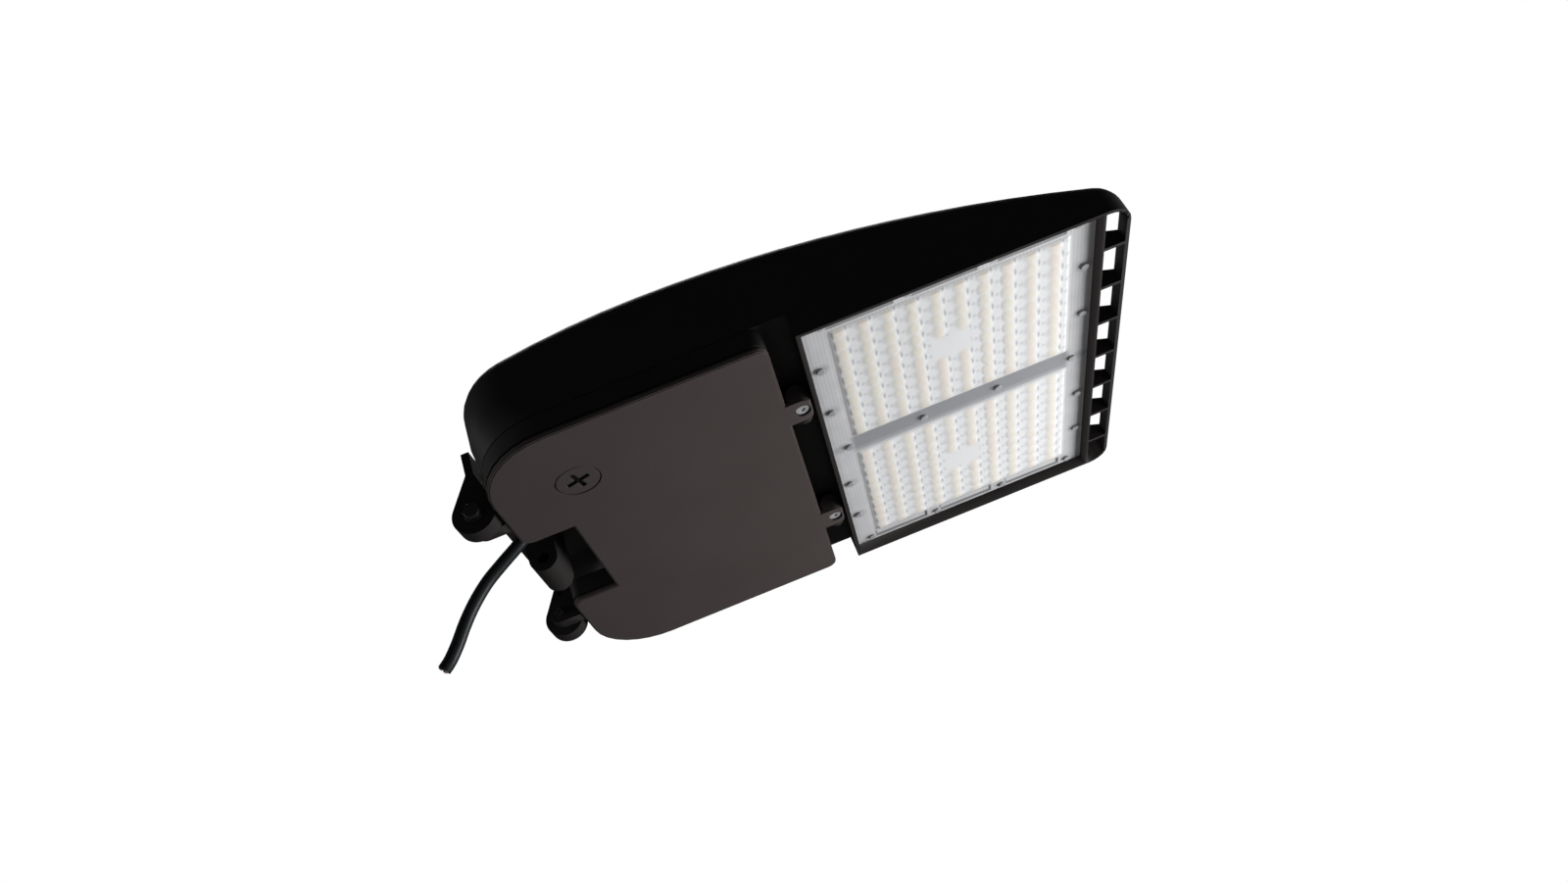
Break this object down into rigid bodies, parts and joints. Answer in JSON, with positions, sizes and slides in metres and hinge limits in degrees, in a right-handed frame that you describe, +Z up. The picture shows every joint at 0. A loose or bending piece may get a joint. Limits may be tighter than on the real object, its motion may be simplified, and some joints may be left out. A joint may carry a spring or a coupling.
{
  "type": "outdoor flood light",
  "caption": "Flat outdoor LED flood light with an arched finned housing, clear lens, hinged driver cover and a tilting rear bracket with a bare supply cord.",
  "frame": {"origin": "centre of the two-bolt pattern on the bracket's mounting face", "axes": "+X from the mounting face to the front tip, +Z up, the light shines towards -Z"},
  "size_m": [0.4991, 0.3, 0.1418],
  "materials": {
    "black_coat": "satin powder coat",
    "dark_steel": "blackened steel",
    "spring_steel": "plain",
    "seal_rubber": "matt",
    "bright_steel": "plain",
    "plain_aluminium": "mill finish",
    "driver_case": "light grey",
    "dark_plastic": "matt",
    "blue_plastic": "matt",
    "cream_plastic": "matt",
    "lead_jacket": "matt",
    "heat_pad": "matt",
    "white_board": "white solder mask",
    "led_yellow": "phosphor",
    "white_plastic": "matt",
    "lens_seal": "matt",
    "clear_lens": "clear polycarbonate",
    "grey_brown_coat": "satin powder coat",
    "cord_jacket": "satin",
    "copper": "bare copper"
  },
  "bodies": {
    "bracket": {"bracket": "black_coat"},
    "fixture": {"pivot_bolts": "dark_steel", "pivot_washers": "dark_steel", "friction_washers": "spring_steel", "housing": "black_coat", "cooling_fins": "black_coat", "gear_frame": "black_coat", "frame_seal": "seal_rubber", "frame_screws": "bright_steel", "gear_tray": "plain_aluminium", "tray_screws": "bright_steel", "driver": "driver_case", "driver_end_caps": "dark_plastic", "surge_protector": "blue_plastic", "terminal_block": "cream_plastic", "dc_lead": "lead_jacket", "heat_pads": "heat_pad", "led_board_near": "white_board", "led_board_far": "white_board", "led_chips_near": "led_yellow", "led_chips_far": "led_yellow", "board_connectors": "white_plastic", "lens_seal": "lens_seal", "lens_plate": "clear_lens", "lens_screws": "dark_steel", "strain_relief": "dark_plastic", "cord": "cord_jacket", "cord_cores": "copper"},
    "cover": {"driver_cover": "grey_brown_coat", "cover_seal": "seal_rubber", "hinge_pins": "bright_steel", "set_screws": "bright_steel", "pin_clips": "bright_steel"},
    "latch": {"latch_screw": "grey_brown_coat", "latch_retainer": "bright_steel"}
  },
  "joints": [
    {"name": "tilt", "type": "hinge", "parent": "bracket", "child": "fixture", "pos_m": [0, 0, -0.0325], "axis": [0, 1, 0], "range_deg": [-5, 90]},
    {"name": "cover_hinge", "type": "hinge", "parent": "fixture", "child": "cover", "pos_m": [0.2155, 0, -0.036], "axis": [0, -1, 0], "range_deg": [0, 90]},
    {"name": "latch_turn", "type": "hinge", "parent": "cover", "child": "latch", "pos_m": [0.069, -0.095, -0.042], "axis": [0, 0, 1], "range_deg": [0, 90]}
  ]
}
